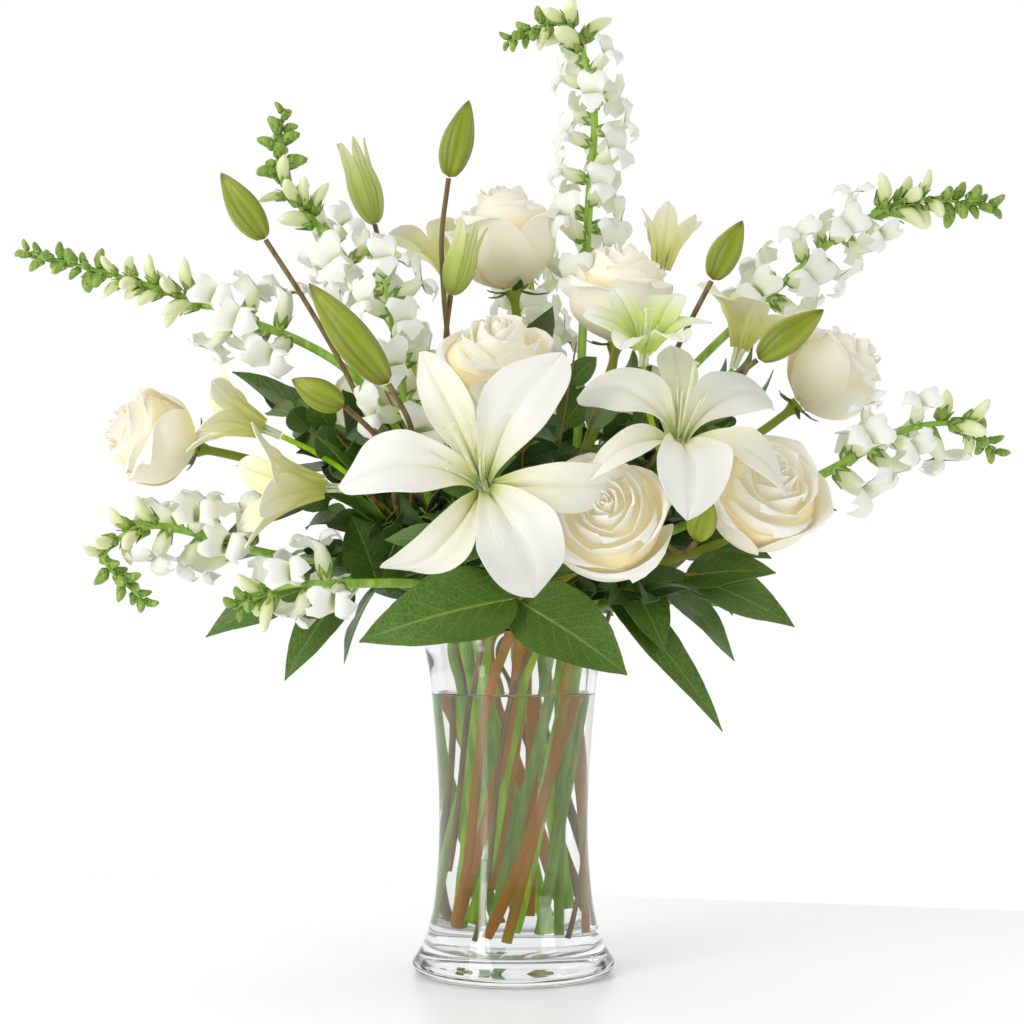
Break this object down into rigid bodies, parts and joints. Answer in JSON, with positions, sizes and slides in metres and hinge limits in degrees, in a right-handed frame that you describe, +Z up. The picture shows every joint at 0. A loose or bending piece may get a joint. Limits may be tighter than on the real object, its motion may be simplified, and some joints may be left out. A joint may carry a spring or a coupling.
{
  "type": "bouquet in a glass vase",
  "caption": "Wide hand-tied bouquet of white lilies, roses and snapdragons with lemon leaf, standing in a waisted clear glass vase of water.",
  "frame": {"origin": "middle of the vase's flat foot, on the table", "axes": "+Z up out of the vase; -Y is the front, the side that the two open lilies face; +X is to the viewer's right from the front and is the long way of the bouquet"},
  "size_m": [0.5744, 0.3103, 0.5723],
  "materials": {
    "vase_glass": "gloss",
    "vase_water": "gloss",
    "stem_green": "satin",
    "rose_stem_green": "satin",
    "lily_petal": "satin",
    "lily_bud_skin": "satin",
    "rose_petal": "matte",
    "snapdragon_petal": "satin",
    "lemon_leaf_green": "satin"
  },
  "bodies": {
    "root": {"vase": "vase_glass", "water": "vase_water", "lily_stem_1": "stem_green", "lily_stem_2": "stem_green", "lily_stem_3": "stem_green", "lily_stem_4": "stem_green", "lily_stem_5": "stem_green", "lily_stem_6": "stem_green", "lily_bloom_1": "lily_petal", "lily_bloom_2": "lily_petal", "lily_bloom_3": "lily_petal", "lily_bloom_4": "lily_petal", "lily_bloom_5": "lily_petal", "lily_bloom_6": "lily_petal", "lily_bloom_7": "lily_petal", "lily_bloom_8": "lily_petal", "lily_bloom_9": "lily_petal", "lily_bud_1": "lily_bud_skin", "lily_bud_2": "lily_bud_skin", "lily_bud_3": "lily_bud_skin", "lily_bud_4": "lily_bud_skin", "lily_bud_5": "lily_bud_skin", "lily_bud_6": "lily_bud_skin", "lily_bud_7": "lily_bud_skin", "lily_bud_8": "lily_bud_skin", "lily_bud_9": "lily_bud_skin", "rose_stem_1": "rose_stem_green", "rose_stem_2": "rose_stem_green", "rose_stem_3": "rose_stem_green", "rose_stem_4": "rose_stem_green", "rose_stem_5": "rose_stem_green", "rose_stem_6": "rose_stem_green", "rose_stem_7": "rose_stem_green", "rose_stem_8": "rose_stem_green", "rose_stem_9": "rose_stem_green", "rose_bloom_1": "rose_petal", "rose_bloom_2": "rose_petal", "rose_bloom_3": "rose_petal", "rose_bloom_4": "rose_petal", "rose_bloom_5": "rose_petal", "rose_bloom_6": "rose_petal", "rose_bloom_7": "rose_petal", "rose_bloom_8": "rose_petal", "rose_bloom_9": "rose_petal", "snapdragon_1": "snapdragon_petal", "snapdragon_2": "snapdragon_petal", "snapdragon_3": "snapdragon_petal", "snapdragon_4": "snapdragon_petal", "snapdragon_5": "snapdragon_petal", "snapdragon_6": "snapdragon_petal", "snapdragon_7": "snapdragon_petal", "snapdragon_8": "snapdragon_petal", "snapdragon_9": "snapdragon_petal", "lemon_leaf_1": "lemon_leaf_green", "lemon_leaf_2": "lemon_leaf_green", "lemon_leaf_3": "lemon_leaf_green", "lemon_leaf_4": "lemon_leaf_green", "lemon_leaf_5": "lemon_leaf_green", "lemon_leaf_6": "lemon_leaf_green"}
  },
  "joints": []
}
